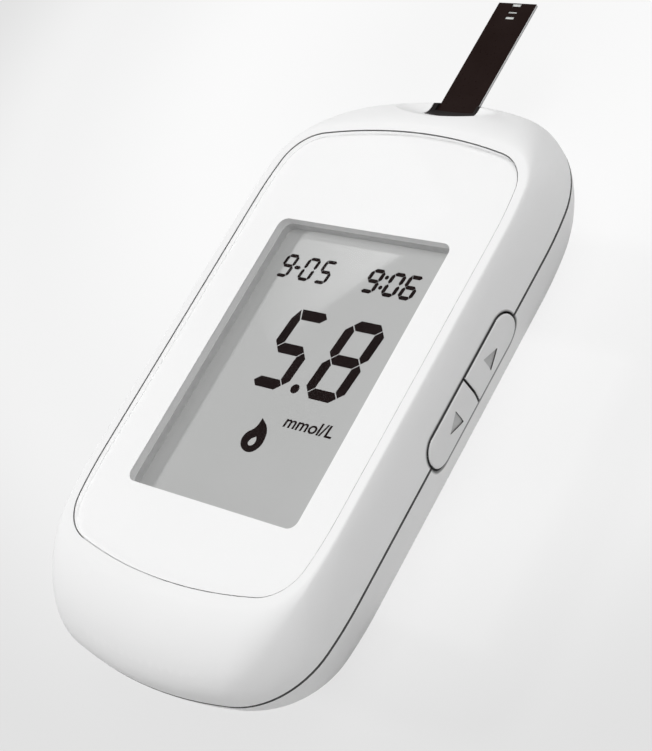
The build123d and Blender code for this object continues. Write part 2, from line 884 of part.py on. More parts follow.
with BuildPart() as board_fixings:
    for x, y in mirrored(board_screws):
        screw(
            x,
            y,
            board_low,
            board_screw_head,
            board_screw_head_height,
            board_screw_shank,
            board_screw_length,
        )
save(board_fixings, "board_screws")

# Test strip: base with printed electrodes, spacer with the sample channel, and cover.
track_end = strip_inner_end + track_length
layer_start = track_end + run_gap
channel_side = sample_width / 2 + strip_slot_gap

with BuildPart() as strip_base:
    block((-strip_side, strip_inner_end, strip_low), (strip_side, strip_outer_end, strip_face))
save(strip_base, "strip_base")

with BuildPart() as strip_electrodes:
    for number in range(track_count):
        x = (number - (track_count - 1) / 2) * track_pitch
        block(
            (x - track_width / 2, strip_inner_end, strip_face),
            (x + track_width / 2, track_end, strip_face + track_thickness),
        )
    block(
        (-sample_width / 2, strip_outer_end - sample_channel + strip_slot_gap, strip_face),
        (sample_width / 2, strip_outer_end, strip_face + track_thickness),
    )
save(strip_electrodes, "strip_electrodes")

with BuildPart() as strip_spacer:
    block(
        (-strip_side, layer_start, strip_face),
        (strip_side, strip_outer_end, strip_face + spacer_thickness),
    )
    block(
        (-channel_side, strip_outer_end - sample_channel, strip_face),
        (channel_side, strip_outer_end, strip_face + spacer_thickness),
        Mode.SUBTRACT,
    )
save(strip_spacer, "strip_spacer")

with BuildPart() as strip_cover:
    block(
        (-strip_side, layer_start, strip_top - cover_thickness),
        (strip_side, strip_outer_end, strip_top),
    )
    for inset, length in sample_windows:
        y = strip_outer_end - inset
        block(
            (-sample_width / 2, y - length / 2, strip_top - cover_thickness),
            (sample_width / 2, y + length / 2, strip_top),
            Mode.SUBTRACT,
        )
save(strip_cover, "strip_cover")

# Strip port: a dark bezel whose nose is flush with the scoop, and the connector behind it.
strip_slot_side = strip_side + strip_slot_gap
lip_end = half_length - lip_in_port

with BuildPart() as port_bezel:
    block(
        (-collar_half_width, port_block_end, bezel_low),
        (collar_half_width, collar_end, bezel_high),
    )
    block(
        (-nose_half_width, collar_end, bezel_low),
        (nose_half_width, half_length, bezel_high),
    )
    add(upper_outside, mode=Mode.INTERSECT)
    add(strip_scoop.part, mode=Mode.SUBTRACT)
    block(
        (-strip_slot_side, port_block_end, strip_low - strip_slot_gap),
        (strip_slot_side, half_length, strip_top + strip_slot_gap),
        Mode.SUBTRACT,
    )
    block(
        (-strip_slot_side, lip_end, strip_low),
        (strip_slot_side, half_length, scoop_axis),
        Mode.SUBTRACT,
    )
save(port_bezel, "port_bezel")

pin_low = strip_face + track_thickness + pin_clearance
pin_places = [(number - (track_count - 1) / 2) * track_pitch for number in range(track_count)]
slot_end = strip_inner_end - fit_gap
housing_end = strip_inner_end - housing_inner

with BuildPart() as strip_connector:
    block(
        (-strip_side - housing_side, housing_end, board_height),
        (strip_side + housing_side, board_port_end - fit_gap, board_height + housing_height),
    )
    block(
        (-strip_slot_side, slot_end, strip_low - strip_slot_gap),
        (strip_slot_side, board_port_end, strip_top + strip_slot_gap),
        Mode.SUBTRACT,
    )
    for x in pin_places:
        side = pin_width / 2 + fit_gap
        top = pin_low + pin_thickness + fit_gap
        block((x - side, housing_end, board_height), (x + side, slot_end, top), Mode.SUBTRACT)
        block(
            (x - side, slot_end, strip_low),
            (x + side, strip_inner_end + pin_reach + fit_gap, top),
            Mode.SUBTRACT,
        )
save(strip_connector, "strip_connector")

with BuildPart() as strip_contacts:
    for x in pin_places:
        low, high = x - pin_width / 2, x + pin_width / 2
        heel = housing_end + pin_thickness
        block(
            (low, housing_end, pin_low),
            (high, strip_inner_end + pin_reach, pin_low + pin_thickness),
        )
        block((low, housing_end, board_height), (high, heel, pin_low))
save(strip_contacts, "strip_contacts")
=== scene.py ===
import math

import bmesh
import bpy
from mathutils import Matrix, Vector


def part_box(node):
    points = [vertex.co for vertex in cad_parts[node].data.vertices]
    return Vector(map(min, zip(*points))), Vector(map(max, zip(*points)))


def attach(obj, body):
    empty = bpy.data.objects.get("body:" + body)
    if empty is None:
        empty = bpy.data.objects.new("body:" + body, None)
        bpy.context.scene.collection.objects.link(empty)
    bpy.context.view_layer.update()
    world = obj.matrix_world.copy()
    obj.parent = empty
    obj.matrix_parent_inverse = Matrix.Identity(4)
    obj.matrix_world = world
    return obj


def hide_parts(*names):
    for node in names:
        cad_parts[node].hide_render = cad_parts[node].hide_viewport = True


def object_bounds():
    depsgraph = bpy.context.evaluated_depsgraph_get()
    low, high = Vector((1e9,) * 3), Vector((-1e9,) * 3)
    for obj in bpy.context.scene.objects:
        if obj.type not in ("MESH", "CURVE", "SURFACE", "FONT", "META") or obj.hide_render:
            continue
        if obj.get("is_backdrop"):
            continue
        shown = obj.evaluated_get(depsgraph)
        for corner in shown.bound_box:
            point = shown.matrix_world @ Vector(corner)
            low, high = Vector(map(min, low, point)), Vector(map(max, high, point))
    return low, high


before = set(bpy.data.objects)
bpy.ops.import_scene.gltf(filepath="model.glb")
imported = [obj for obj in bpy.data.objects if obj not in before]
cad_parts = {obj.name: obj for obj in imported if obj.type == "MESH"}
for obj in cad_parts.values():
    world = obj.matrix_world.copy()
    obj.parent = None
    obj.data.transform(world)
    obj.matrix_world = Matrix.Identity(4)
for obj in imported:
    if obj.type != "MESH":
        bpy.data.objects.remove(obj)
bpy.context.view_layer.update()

scene = bpy.context.scene

# Camera, on the display side of the meter and towards its chin and buttons.
right = Vector((0.7351, 0.4706, -0.4880))
up = Vector((-0.1722, 0.8258, 0.5371))
back = Vector((0.6558, -0.3107, 0.6880))
camera = bpy.data.objects.new("camera", bpy.data.cameras.new("camera"))
camera.data.lens = 88.45
camera.data.sensor_width = 36
camera.data.clip_start = 0.01
camera.data.clip_end = 20
place = Matrix((right, up, back)).transposed().to_4x4()
place.translation = (0.171127, -0.079578, 0.192093)
camera.matrix_world = place
scene.collection.objects.link(camera)
scene.camera = camera


# Casing: two moulded shells that meet in a shadow gap, and the door over the battery bay.
# White ABS with a fine satin grain. The walls of the narrow gaps are painted dark as painted shade:
# the seam and the button slot darkest, the groove round the lens lighter.
weld = 0.000002  # corners nearer than this are one
flat_turn = 0.3  # degrees by which two faces may turn and still be one


def rounded_copy(node, name, crease=32):
    """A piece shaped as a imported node, with its curved faces shaded smooth between its creases."""
    shape = bmesh.new()
    shape.from_mesh(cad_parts[node].data)
    bmesh.ops.remove_doubles(shape, verts=shape.verts, dist=weld)
    bmesh.ops.dissolve_limit(
        shape, angle_limit=math.radians(flat_turn), verts=shape.verts, edges=shape.edges
    )
    for face in shape.faces:
        face.smooth = True
    for edge in shape.edges:
        edge.smooth = edge.calc_face_angle(0) < math.radians(crease)
    mesh = bpy.data.meshes.new(name)
    shape.to_mesh(mesh)
    shape.free()
    piece = bpy.data.objects.new(name, mesh)
    scene.collection.objects.link(piece)
    shading = piece.modifiers.new("even_shading", "WEIGHTED_NORMAL")
    shading.keep_sharp = True
    return piece


def greys(dark, light):
    """The darker and the lighter tone of a plain grey finish."""
    return (dark,) * 3, (light,) * 3


def grain(
    name, tones, tone_size, roughness, grain_size, grain_depth, metallic=0.0, specular=0.5
):
    """A finish with slightly uneven colour and gloss over a fine surface grain."""
    material = bpy.data.materials.new(name)
    material.use_nodes = True
    nodes, links = material.node_tree.nodes, material.node_tree.links
    shader = nodes["Principled BSDF"]
    shader.inputs["Metallic"].default_value = metallic
    shader.inputs["Specular IOR Level"].default_value = specular
    places = nodes.new("ShaderNodeTexCoord")
    clouds = nodes.new("ShaderNodeTexNoise")
    clouds.inputs["Scale"].default_value = 1 / tone_size
    clouds.inputs["Detail"].default_value = 3
    links.new(places.outputs["Object"], clouds.inputs["Vector"])
    tint = nodes.new("ShaderNodeValToRGB")
    for stop, position, tone in zip(tint.color_ramp.elements, (0.3, 0.7), tones):
        stop.position = position
        stop.color = (*tone, 1)
    links.new(clouds.outputs["Fac"], tint.inputs["Fac"])
    links.new(tint.outputs["Color"], shader.inputs["Base Color"])
    specks = nodes.new("ShaderNodeTexNoise")
    specks.inputs["Scale"].default_value = 1 / grain_size
    specks.inputs["Detail"].default_value = 2
    links.new(places.outputs["Object"], specks.inputs["Vector"])
    gloss = nodes.new("ShaderNodeMapRange")
    gloss.inputs["To Min"].default_value = roughness[0]
    gloss.inputs["To Max"].default_value = roughness[1]
    links.new(specks.outputs["Fac"], gloss.inputs["Value"])
    links.new(gloss.outputs["Result"], shader.inputs["Roughness"])
    bump = nodes.new("ShaderNodeBump")
    bump.inputs["Strength"].default_value = 0.35
    bump.inputs["Distance"].default_value = grain_depth
    links.new(specks.outputs["Fac"], bump.inputs["Height"])
    links.new(bump.outputs["Normal"], shader.inputs["Normal"])
    return material


def finish(piece, material, body):
    """Gives a new piece its material and the body that it rides on."""
    piece.data.materials.clear()
    piece.data.materials.append(material)
    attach(piece, body)


def step(tree, operation, first, second):
    """A math node on a socket and a number or a second socket; gives its result."""
    node = tree.nodes.new("ShaderNodeMath")
    node.operation = operation
    tree.links.new(first, node.inputs[0])
    if isinstance(second, float):
        node.inputs[1].default_value = second
    else:
        tree.links.new(second, node.inputs[1])
    return node.outputs["Value"]


key_low, key_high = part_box("button_down")[0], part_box("button_up")[1]
lens_low, lens_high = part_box("face_lens")
seam = 0.012675  # height of the middle of the gap between the shells
seam_reach = (0.01234, 0.01281)  # heights between which a face lies in that gap
button_side = 0.02
wall = (0.0232, 0.02495)  # inside and outside of the wall that the button slot goes through
slot_middle = (key_low.y + key_high.y) / 2
slot_straight = 0.009225  # half the length of the slot without its round ends
slot_radius = 0.003075
slot_reach = (0.0126, 0.0035)  # half the length and half the height of the slot and its rim
# The rim values set the painted shade round the button slot.
rim_fade = 0.000325  # width over which the shade on the slot's rim fades
rim_below = 0.00042  # how much further that shade reaches below the slot
rim_shade_tone = 0.16
lens_reach = 0.0004  # how far the groove round the lens reaches from it
slot_slope, groove_slope = 0.4, 0.2  # how far a wall of the slot or the groove may lean

shell_white = grain(
    "shell_white", greys(0.85, 0.88), 0.03, (0.3, 0.38), 0.0003, 0.000004, specular=0.4
)
# Painted shade for the walls of the narrow gaps, darkest in the seam and the button slot, lighter in
# the groove round the lens.
gap_shade = grain("gap_shade", greys(0.06, 0.1), 0.004, (0.6, 0.75), 0.0002, 0.000002)
recess_shade = grain("recess_shade", greys(0.34, 0.4), 0.004, (0.6, 0.75), 0.0002, 0.000002)

# Painted shade: the casing is darkened over the rim of the button slot, by the distance from the
# slot's middle line, reaching a little further below the slot.
tree = shell_white.node_tree
shader = tree.nodes["Principled BSDF"]
shader.inputs["IOR"].default_value = 1.46
places = tree.nodes.new("ShaderNodeTexCoord")
split = tree.nodes.new("ShaderNodeSeparateXYZ")
tree.links.new(places.outputs["Object"], split.inputs["Vector"])
along = step(tree, "SUBTRACT", split.outputs["Y"], slot_middle)
along = step(tree, "ABSOLUTE", along, 0.0)
along = step(tree, "SUBTRACT", along, slot_straight)
along = step(tree, "MAXIMUM", along, 0.0)
above = step(tree, "SUBTRACT", split.outputs["Z"], seam)
below = step(tree, "MULTIPLY", above, -1.0)
below = step(tree, "SUBTRACT", below, rim_below)
across = step(tree, "MAXIMUM", above, below)
reach = step(
    tree, "ADD", step(tree, "MULTIPLY", along, along), step(tree, "MULTIPLY", across, across)
)
rim_shade = tree.nodes.new("ShaderNodeMapRange")
rim_shade.inputs["From Min"].default_value = slot_radius
rim_shade.inputs["From Max"].default_value = slot_radius + rim_fade
rim_shade.inputs["To Min"].default_value = rim_shade_tone
tree.links.new(step(tree, "SQRT", reach, 0.0), rim_shade.inputs["Value"])
other_side = step(tree, "LESS_THAN", split.outputs["X"], button_side)
shaded = tree.nodes.new("ShaderNodeHueSaturation")
tree.links.new(tree.nodes["Color Ramp"].outputs["Color"], shaded.inputs["Color"])
tree.links.new(step(tree, "MAXIMUM", rim_shade.outputs["Result"], other_side), shaded.inputs["Value"])
tree.links.new(shaded.outputs["Color"], shader.inputs["Base Color"])


def shade(casing, face):
    """Slot of a casing face: 1, painted shade, in the seam and round the buttons; 2, lighter painted
    shade, round the lens; else 0.
    """
    x, y, z = face.center
    heights = [casing.data.vertices[number].co.z for number in face.vertices]
    if min(heights) > seam_reach[0] and max(heights) < seam_reach[1]:
        return 1
    if abs(face.normal.x) < slot_slope and wall[0] < x < wall[1]:
        return int(abs(y - slot_middle) < slot_reach[0] and abs(z - seam) < slot_reach[1])
    by_lens = (
        abs(x) < lens_high.x + lens_reach
        and lens_low.y - lens_reach < y < lens_high.y + lens_reach
        and z > lens_low.z - lens_reach / 2
    )
    return 2 if by_lens and abs(face.normal.z) < groove_slope else 0


for node, name, body in (
    ("upper_shell", "upper_casing", "case"),
    ("lower_shell", "lower_casing", "case"),
    ("battery_door", "door_cover", "battery_door"),
):
    casing = rounded_copy(node, name)
    finish(casing, shell_white, body)
    casing.data.materials.append(gap_shade)
    casing.data.materials.append(recess_shade)
    # The faces in the seam, the button slot and the lens groove take the painted shade.
    for face in casing.data.polygons:
        face.material_index = shade(casing, face) if body == "case" else 0
    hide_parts(node)

# Side buttons: two white keys in one slot, each with a sunk triangle that is inked grey.
# They are moulded in the same plastic as the casing, a little more matt, and a flange inside
# the wall keeps them in.
key_white = grain("key_white", greys(0.8, 0.83), 0.01, (0.32, 0.4), 0.0003, 0.000004)
key_ink = grain("key_ink", greys(0.53, 0.58), 0.002, (0.5, 0.6), 0.0002, 0.000004)
triangle_half = (0.00145, 0.00135)  # half its height, along the slot, and half its foot
triangle_place = 0.00555  # of its middle, from the middle of the slot
triangle_floor = 0.0242  # the faces of the sunk triangle lie outside this
front_slope, edge_slope = 0.8, 0.5  # how squarely the front and the edges of a key face the side
for way, node in ((1, "button_up"), (-1, "button_down")):
    key = rounded_copy(node, node.replace("button", "key"))
    finish(key, key_white, node)
    key.data.materials.append(key_ink)
    key.data.materials.append(gap_shade)
    # The triangle's floor is inked. Its sunk walls and the key's sides take the painted shade of the
    # gaps.
    for face in key.data.polygons:
        x, y, z = face.center
        along = way * (y - slot_middle) - triangle_place
        side = triangle_half[1] * (triangle_half[0] - along) / (2 * triangle_half[0])
        if abs(along) < triangle_half[0] and abs(z - seam) < side and x > triangle_floor:
            face.material_index = 1 if face.normal.x > front_slope else 2
        elif abs(face.normal.x) < edge_slope and x > wall[0]:
            face.material_index = 2
    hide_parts(node)


# Printed film: white ink on a thin sheet, with the display window left clear.
# It is stuck to the back of the lens and seated with it in the casing's recess.
def coat(pieces, name, *look, **gloss):
    """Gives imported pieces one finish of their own, made as grain makes it."""
    material = grain(name, *look, **gloss)
    for node in pieces:
        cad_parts[node].data.materials.clear()
        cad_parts[node].data.materials.append(material)
    return material


coat(("mask_film",), "film_white", greys(0.895, 0.905), 0.02, (0.5, 0.55), 0.0004, 0.000001)

# Lens: one sheet of clear acrylic, flush with the casing, with an anti-glare hard coat.
# Its cut edge mirrors the film like the facets of a prism, with a hair of air under the sheet.
lens_foot = 0.0001  # corners nearer than this to the lowest one belong to the back of the sheet
lens_air = 0.00003
lens_rim_slope = 0.3  # how far the cut edge may lean
lens = rounded_copy("face_lens", "clear_lens", 20)
for point in lens.data.vertices:
    if point.co.z < lens_low.z + lens_foot:
        point.co.z += lens_air
lens_clear = bpy.data.materials.new("lens_clear")
lens_clear.use_nodes = True
tree = lens_clear.node_tree
nodes, links = tree.nodes, tree.links
nodes.remove(nodes["Principled BSDF"])
through = nodes.new("ShaderNodeBsdfTransparent")
through.inputs["Color"].default_value = (0.995, 0.995, 0.995, 1)
sheen = nodes.new("ShaderNodeBsdfGlossy")
places = nodes.new("ShaderNodeTexCoord")
haze = nodes.new("ShaderNodeTexNoise")
haze.inputs["Scale"].default_value = 60
links.new(places.outputs["Object"], haze.inputs["Vector"])
haze_range = nodes.new("ShaderNodeMapRange")
haze_range.inputs["To Min"].default_value = 0.02
haze_range.inputs["To Max"].default_value = 0.04
links.new(haze.outputs["Fac"], haze_range.inputs["Value"])
links.new(haze_range.outputs["Result"], sheen.inputs["Roughness"])
edge_on = nodes.new("ShaderNodeFresnel")
edge_on.inputs["IOR"].default_value = 1.1
side_seen = nodes.new("ShaderNodeNewGeometry")
outside = step(tree, "SUBTRACT", edge_on.outputs["Fac"], side_seen.outputs["Backfacing"])
blend = nodes.new("ShaderNodeMixShader")
links.new(step(tree, "MAXIMUM", outside, 0.0), blend.inputs["Fac"])
links.new(through.outputs["BSDF"], blend.inputs[1])
links.new(sheen.outputs["BSDF"], blend.inputs[2])
links.new(blend.outputs["Shader"], nodes["Material Output"].inputs["Surface"])
lens_edge = grain("lens_edge", greys(0.94, 0.97), 0.003, (0.06, 0.1), 0.0002, 0.000001, metallic=1)
finish(lens, lens_clear, "case")
lens.data.materials.append(lens_edge)
for face in lens.data.polygons:
    face.material_index = int(abs(face.normal.z) < lens_rim_slope)
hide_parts("face_lens")

# Display cell: foam gasket, a front glass with its grey polariser, a back glass and a reflector,
# all held in a moulded frame over the board and joined to it by a rubber connector.
polariser_tones = ((0.46, 0.465, 0.46), (0.475, 0.477, 0.475))
glass_tones = ((0.42, 0.47, 0.44), (0.46, 0.5, 0.47))
foil_tones = ((0.5, 0.5, 0.49), (0.58, 0.58, 0.57))
holder_tones = ((0.72, 0.72, 0.71), (0.76, 0.76, 0.75))
rubber_tones = ((0.5, 0.14, 0.14), (0.58, 0.18, 0.17))
coat(("lcd_gasket",), "gasket_foam", greys(0.57, 0.63), 0.001, (0.85, 0.95), 0.0003, 0.00004)
coat(("lcd_front_glass",), "polariser_grey", polariser_tones, 0.02, (0.02, 0.04), 0.0003, 5e-8)
coat(("lcd_back_glass",), "glass_green", glass_tones, 0.01, (0.08, 0.14), 0.001, 0.000001)
coat(("lcd_reflector",), "reflector_foil", foil_tones, 0.004, (0.3, 0.4), 0.0002, 0.000003)
coat(("lcd_holder",), "holder_white", holder_tones, 0.01, (0.4, 0.5), 0.0003, 0.000005)
coat(("lcd_connector",), "elastomer_pink", rubber_tones, 0.0004, (0.7, 0.8), 0.0002, 0.00001)

# Readout: the dark marks that the display shows, as a thin layer on the front glass.
# Time, date, a result in seven-segment figures, its unit, and a drop that asks for a sample.
ink_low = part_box("lcd_front_glass")[1].z + 0.00001
ink_thickness = 0.00002
ink_lean = 0.12
readout = bmesh.new()


def mark(points):
    """One mark from its outline in millimetres, raised into a thin closed plate."""
    corners = [readout.verts.new((x / 1000, y / 1000, ink_low)) for x, y in points]
    raised = bmesh.ops.extrude_face_region(readout, geom=[readout.faces.new(corners)])
    for part in raised["geom"]:
        if isinstance(part, bmesh.types.BMVert):
            part.co.z += ink_thickness


def digit(lit, corner, width, height, thickness):
    """One figure of pointed segments a to g, from its lower left corner in millimetres."""
    half, gap = thickness / 2, thickness / 14
    rows = (half, height / 2, height - half)
    columns = (half, width - half)

    def level(row, square_end):
        start, end = columns[0] + gap, columns[1] - gap
        if square_end:
            first = [(start + half, row - half), (start, row + half)]
        else:
            first = [(start + half, row - half), (start, row), (start + half, row + half)]
        return first + [(end - half, row + half), (end, row), (end - half, row - half)]

    def upright(column, low, high, corner_end):
        low, high = low + gap, high - gap
        first = [(column, low), (column + half, low + half), (column + half, high - half)]
        tip = (column - gap, high + half) if corner_end else (column, high)
        return first + [tip, (column - half, high - half), (column - half, low + half)]

    segments = {
        "a": level(rows[2], "b" not in lit),
        "b": upright(columns[1], rows[1], rows[2], False),
        "c": upright(columns[1], rows[0], rows[1], False),
        "d": level(rows[0], False),
        "e": upright(columns[0], rows[0], rows[1], False),
        "f": upright(columns[0], rows[1], rows[2], "b" not in lit),
        "g": level(rows[1], False),
    }
    for name in lit:
        mark([(corner[0] + x + ink_lean * y, corner[1] + y) for x, y in segments[name]])


def dot(x, y, radius):
    """One round mark, in millimetres."""
    turns = [math.tau * part / 24 for part in range(24)]
    mark([(x + radius * math.cos(turn), y + radius * math.sin(turn)) for turn in turns])


# The figures of the result, the date and the time, then the dash, the decimal point and the colon.
segments_lit = {"0": "abcdef", "5": "acdfg", "6": "acdefg", "8": "abcdefg", "9": "abcdfg"}
for figures, foot, size in (
    ((("5", -7.75), ("8", 2.6)), -4.85, (7.15, 13.2, 1.68)),
    ((("9", -14.0), ("0", -9.75), ("5", -6.5)), 12.82, (2.4, 4.1, 0.56)),
    ((("9", 2.45), ("0", 6.25), ("6", 9.3)), 12.8, (2.6, 4.15, 0.64)),
):
    for figure, x in figures:
        digit(segments_lit[figure], (x, foot), *size)
dash_low, dash_middle, dash_high = 14.52, 14.82, 15.12
mark([
    (-11.25, dash_middle), (-10.95, dash_high), (-10.25, dash_high),
    (-9.95, dash_middle), (-10.25, dash_low), (-10.95, dash_low),
])
for x, y, radius in ((1.22, -3.95, 0.74), (5.98, 15.82, 0.34), (5.82, 14.07, 0.34)):
    dot(x, y, radius)
bmesh.ops.recalc_face_normals(readout, faces=readout.faces)
readout_mesh = bpy.data.meshes.new("readout_figures")
readout.to_mesh(readout_mesh)
readout.free()
readout_figures = bpy.data.objects.new("readout_figures", readout_mesh)
scene.collection.objects.link(readout_figures)
ink_tones = ((0.007, 0.003, 0.003), (0.01, 0.005, 0.005))
readout_ink = grain(
    "readout_ink", ink_tones, 0.004, (0.45, 0.55), 0.0003, 0.000001, specular=0.1
)
finish(readout_figures, readout_ink, "case")


def plate(name, curve):
    """A filled flat outline made into a mesh, standing on the front glass."""
    flat = bpy.data.objects.new(name, curve)
    scene.collection.objects.link(flat)
    evaluated = flat.evaluated_get(bpy.context.evaluated_depsgraph_get())
    mesh = bpy.data.meshes.new_from_object(evaluated)
    bpy.data.objects.remove(flat)
    piece = bpy.data.objects.new(name, mesh)
    scene.collection.objects.link(piece)
    finish(piece, readout_ink, "case")
    return piece


drop_outline = bpy.data.curves.new("drop", "CURVE")
drop_outline.dimensions = "2D"
drop_outline.fill_mode = "BOTH"
drop_outline.resolution_u = 8
outer = ((-1.34, -9.36), (0.30, -10.64), (0.96, -12.05), (0.87, -13.62), (-0.15, -14.67))
outer += ((-1.64, -14.62), (-2.70, -13.72), (-2.81, -12.34), (-1.60, -10.91))
inner = ((-0.64, -12.25), (-0.28, -12.99), (-0.59, -13.67), (-1.34, -13.65), (-1.41, -12.97))
for points in (outer, inner):
    line = drop_outline.splines.new("BEZIER")
    line.bezier_points.add(len(points) - 1)
    line.use_cyclic_u = True
    for number, (x, y) in enumerate(points):
        knot = line.bezier_points[number]
        knot.co = (x / 1000, y / 1000, 0)
        knot.handle_left_type = knot.handle_right_type = "AUTO" if number else "VECTOR"
drop_outline.extrude = ink_thickness / 2
drop_mark = plate("drop_mark", drop_outline)
drop_mark.data.transform(Matrix.Translation((0, 0, ink_low + ink_thickness / 2)))

unit_size = (0.0089, 0.00195)
unit_place = Vector((0.0026, -0.0098, ink_low + ink_thickness / 2))
unit_text = bpy.data.curves.new("unit", "FONT")
unit_text.body = "mmol/L"
unit_text.size = 0.0027
unit_text.shear = 0.1
unit_text.offset = 0.00004
unit_text.extrude = ink_thickness / 2
unit_mark = plate("unit_mark", unit_text)
corners = [point.co for point in unit_mark.data.vertices]
drawn = [max(c[n] for c in corners) - min(c[n] for c in corners) for n in (0, 1)]
stretch = Matrix.Diagonal((unit_size[0] / drawn[0], unit_size[1] / drawn[1], 1, 1))
unit_mark.data.transform(Matrix.Translation(unit_place) @ stretch)

# Test strip: a silvery polyester base with printed electrodes, a white spacer that leaves
# the sample channel, and a glossy dark cover with small windows over that channel.
electrode_tones = ((0.72, 0.74, 0.72), (0.82, 0.84, 0.82))
cover_tones = ((0.011, 0.005, 0.004), (0.015, 0.008, 0.007))
coat(("strip_base",), "strip_silver", greys(0.42, 0.5), 0.003, (0.3, 0.4), 0.0002, 0.000002)
coat(
    ("strip_electrodes",), "electrode_silver", electrode_tones, 0.0008, (0.4, 0.5), 0.0001,
    0.000004, metallic=0.3,
)
coat(("strip_spacer",), "spacer_white", greys(0.78, 0.84), 0.002, (0.5, 0.6), 0.0002, 0.000002)
coat(
    ("strip_cover",), "cover_black", cover_tones, 0.006, (0.25, 0.32), 0.0004, 0.000001,
    specular=0.05,
)

# Strip port: a black bezel pushed into the casing from inside, and behind it on the board
# an ivory connector with sprung steel contacts, of the same steel as the battery contacts.
bezel_tones = ((0.01, 0.008, 0.008), (0.016, 0.013, 0.012))
connector_tones = ((0.62, 0.58, 0.48), (0.68, 0.64, 0.54))
steel_tones = ((0.6, 0.59, 0.56), (0.72, 0.71, 0.68))
contacts = ("strip_contacts", "positive_contact", "negative_contact", "link_contact")
coat(
    ("port_bezel",), "bezel_black", bezel_tones, 0.003, (0.4, 0.5), 0.0002, 0.000003,
    specular=0.15,
)
coat(("strip_connector",), "connector_ivory", connector_tones, 0.002, (0.4, 0.5), 0.0002, 0.000004)
coat(contacts, "contact_steel", steel_tones, 0.002, (0.2, 0.32), 0.0004, 0.000002, metallic=1)

# Circuit board: green solder mask over glass fibre, with the parts soldered to it.
# Chips, buzzer and switches are black moulded resin, the crystal a metal can.
board_tones = ((0.012, 0.1, 0.04), (0.03, 0.17, 0.08))
capacitor_tones = ((0.38, 0.27, 0.16), (0.5, 0.37, 0.24))
resin_parts = ("processor", "memory_chip", "buzzer", "switch_up", "switch_down")
coat(("main_board",), "board_green", board_tones, 0.0012, (0.25, 0.4), 0.0004, 0.000008)
coat(resin_parts, "chip_black", greys(0.02, 0.035), 0.002, (0.5, 0.65), 0.0002, 0.000006)
coat(
    ("board_capacitors",), "capacitor_tan", capacitor_tones, 0.0008, (0.4, 0.5), 0.0002, 0.000004
)
coat(
    ("clock_crystal",), "crystal_metal", greys(0.6, 0.72), 0.002, (0.25, 0.35), 0.0003, 0.000002,
    metallic=1,
)

# Batteries: two AAA cells side by side, head to tail, each in a printed jacket that is
# copper-coloured at the positive end, with bare metal ends.
jacket_stops = ((0, "metal"), (0.008, "black"), (0.76, "copper"), (0.972, "metal"))
jacket_tones = {
    "metal": (0.7, 0.7, 0.68), "black": (0.02, 0.021, 0.024), "copper": (0.55, 0.3, 0.13)
}
jacket_shine = {"metal": (1, 1, 1), "black": (0, 0, 0), "copper": (0.6, 0.6, 0.6)}
for node, way in (("battery_left", -1), ("battery_right", 1)):
    jacket = coat((node,), node + "_jacket", greys(0, 1), 0.004, (0.22, 0.3), 0.0005, 0.000001)
    nodes, links = jacket.node_tree.nodes, jacket.node_tree.links
    low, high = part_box(node)
    places = nodes.new("ShaderNodeTexCoord")
    split = nodes.new("ShaderNodeSeparateXYZ")
    links.new(places.outputs["Object"], split.inputs["Vector"])
    along = nodes.new("ShaderNodeMapRange")
    along.inputs["From Min"].default_value = low.y if way > 0 else high.y
    along.inputs["From Max"].default_value = high.y if way > 0 else low.y
    links.new(split.outputs["Y"], along.inputs["Value"])
    for tones, socket in ((jacket_tones, "Base Color"), (jacket_shine, "Metallic")):
        bands = nodes.new("ShaderNodeValToRGB")
        bands.color_ramp.interpolation = "CONSTANT"
        bands.color_ramp.elements[0].color = (*tones["metal"], 1)
        bands.color_ramp.elements.remove(bands.color_ramp.elements[1])
        for position, tone in jacket_stops[1:]:
            bands.color_ramp.elements.new(position).color = (*tones[tone], 1)
        links.new(along.outputs["Result"], bands.inputs["Fac"])
        links.new(bands.outputs["Color"], nodes["Principled BSDF"].inputs[socket])

# Screws: self-tapping, of zinc-plated steel. The case screws hold the shells together, and
# the board screws hold the board to bosses of the upper shell.
screw_tones = ((0.5, 0.5, 0.52), (0.62, 0.62, 0.64))
coat(
    ("case_screws", "board_screws"), "screw_zinc", screw_tones, 0.001, (0.3, 0.4), 0.0002, 0.000003,
    metallic=1,
)

# Floor: a wide pale sheet under the meter, with a painted pool of light that is brightest past the
# port end and darker towards the chin. It keeps a soft part of the meter's shadow.
floor_half = 3
bright_place = (-0.0225, 0.07, 0)
bright_reach = 0.13
paper_dimmed = 0.8  # of the tones, where light falls on the sheet
paper_glow = 1.05
paper_glow_share = 0.88
floor_shape = bmesh.new()
bmesh.ops.create_grid(floor_shape, x_segments=1, y_segments=1, size=floor_half)
floor_mesh = bpy.data.meshes.new("floor")
floor_shape.to_mesh(floor_mesh)
floor_shape.free()
floor = bpy.data.objects.new("floor", floor_mesh)
scene.collection.objects.link(floor)
floor_paper = bpy.data.materials.new("floor_paper")
floor_paper.use_nodes = True
tree = floor_paper.node_tree
nodes, links = tree.nodes, tree.links
paper = nodes["Principled BSDF"]
paper.inputs["Roughness"].default_value = 0.9
paper.inputs["Specular IOR Level"].default_value = 0.1
places = nodes.new("ShaderNodeTexCoord")
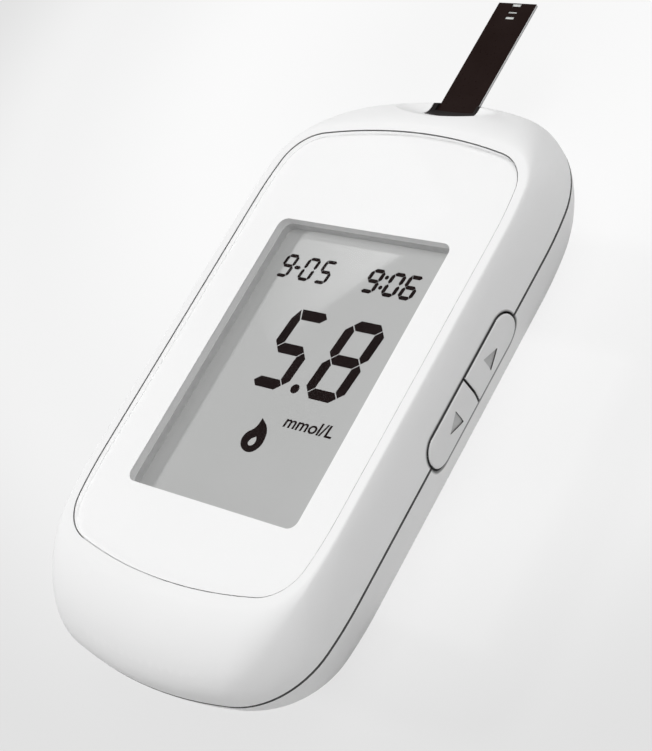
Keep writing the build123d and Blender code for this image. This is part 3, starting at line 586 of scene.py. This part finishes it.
# The painted light falls off with the distance from a bright place past the port end, in the paper's
# colour and in its glow.
distance = nodes.new("ShaderNodeVectorMath")
distance.operation = "DISTANCE"
distance.inputs[1].default_value = bright_place
links.new(places.outputs["Object"], distance.inputs[0])
fade = nodes.new("ShaderNodeMapRange")
fade.inputs["From Max"].default_value = bright_reach
links.new(distance.outputs["Value"], fade.inputs["Value"])
painted_light_pool = nodes.new("ShaderNodeValToRGB")
painted_light_pool.color_ramp.interpolation = "EASE"
painted_light_pool.color_ramp.elements[0].color = (0.9, 0.9, 0.9, 1)
painted_light_pool.color_ramp.elements[1].color = (0.74, 0.74, 0.74, 1)
for position, tone in ((0.35, 0.935), (0.69, 0.87)):
    painted_light_pool.color_ramp.elements.new(position).color = (tone, tone, tone, 1)
links.new(fade.outputs["Result"], painted_light_pool.inputs["Fac"])
dimmer = nodes.new("ShaderNodeHueSaturation")
dimmer.inputs["Value"].default_value = paper_dimmed
links.new(painted_light_pool.outputs["Color"], dimmer.inputs["Color"])
links.new(dimmer.outputs["Color"], paper.inputs["Base Color"])
seen = nodes.new("ShaderNodeEmission")
seen.inputs["Strength"].default_value = paper_glow
links.new(painted_light_pool.outputs["Color"], seen.inputs["Color"])
rays = nodes.new("ShaderNodeLightPath")
seen_share = step(tree, "MULTIPLY", rays.outputs["Is Camera Ray"], paper_glow_share)
blend = nodes.new("ShaderNodeMixShader")
links.new(seen_share, blend.inputs["Fac"])
links.new(paper.outputs["BSDF"], blend.inputs[1])
links.new(seen.outputs["Emission"], blend.inputs[2])
links.new(blend.outputs["Shader"], nodes["Material Output"].inputs["Surface"])
floor.data.materials.append(floor_paper)
floor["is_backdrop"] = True

# Light: a pale room all round, a small lamp on the left that draws the shadows, soft lamps
# overhead and in front, and a faint panel that the display mirrors over part of its glass.
meter = (0, 0, 0.01)
world = bpy.data.worlds.new("room")
scene.world = world
world.use_nodes = True
world.node_tree.nodes["Background"].inputs["Color"].default_value = (1, 1, 1, 1)
world.node_tree.nodes["Background"].inputs["Strength"].default_value = 0.4


def lamp(name, place, aim, size, power, roll=0.0):
    """A rectangular soft lamp that faces a point."""
    light = bpy.data.lights.new(name, "AREA")
    light.shape = "RECTANGLE"
    light.size, light.size_y = size
    light.energy = power
    holder = bpy.data.objects.new(name, light)
    towards = (Vector(aim) - Vector(place)).to_track_quat("-Z", "Y")
    holder.matrix_world = (
        Matrix.LocRotScale(Vector(place), towards, None) @ Matrix.Rotation(roll, 4, "Z")
    )
    scene.collection.objects.link(holder)
    return holder


# Only the film and the gasket shade the key lamp, because a clear lens lets light in at its edge.
key_lamp = lamp("key_lamp", (-0.76, 0.04, 0.68), meter, (0.1, 0.1), 4.4)
key_lamp.visible_glossy = False
shade_makers = bpy.data.collections.new("key_lamp_shade")
for node in ("mask_film", "lcd_gasket"):
    shade_makers.objects.link(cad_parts[node])
key_lamp.light_linking.blocker_collection = shade_makers
lamp("top_lamp", (0.3, 0.1, 0.88), meter, (0.6, 0.6), 3.6)
lamp("front_lamp", (-0.3, -0.8, 0.45), meter, (0.5, 0.4), 0.35)

# The panel glows on one side of a slanted line, more with the distance from it.
panel_place = (-0.7314, 0.4369, 0.7)
panel_slant = (1, 2.245, 0)
panel_line = 0.715
panel = lamp(
    "mirrored_panel", panel_place, (*panel_place[:2], 0), (0.18, 0.157), 0.15, math.radians(-36.6)
)
panel.visible_diffuse = False
panel.data.use_nodes = True
tree = panel.data.node_tree
place_on = tree.nodes.new("ShaderNodeNewGeometry")
towards_edge = tree.nodes.new("ShaderNodeVectorMath")
towards_edge.operation = "DOT_PRODUCT"
towards_edge.inputs[1].default_value = panel_slant
tree.links.new(place_on.outputs["Parametric"], towards_edge.inputs[0])
glow = step(tree, "SUBTRACT", towards_edge.outputs["Value"], panel_line)
glow = step(tree, "MAXIMUM", glow, 0.0)
tree.links.new(glow, tree.nodes["Emission"].inputs["Strength"])

scene.view_settings.view_transform = "Standard"

low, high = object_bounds()
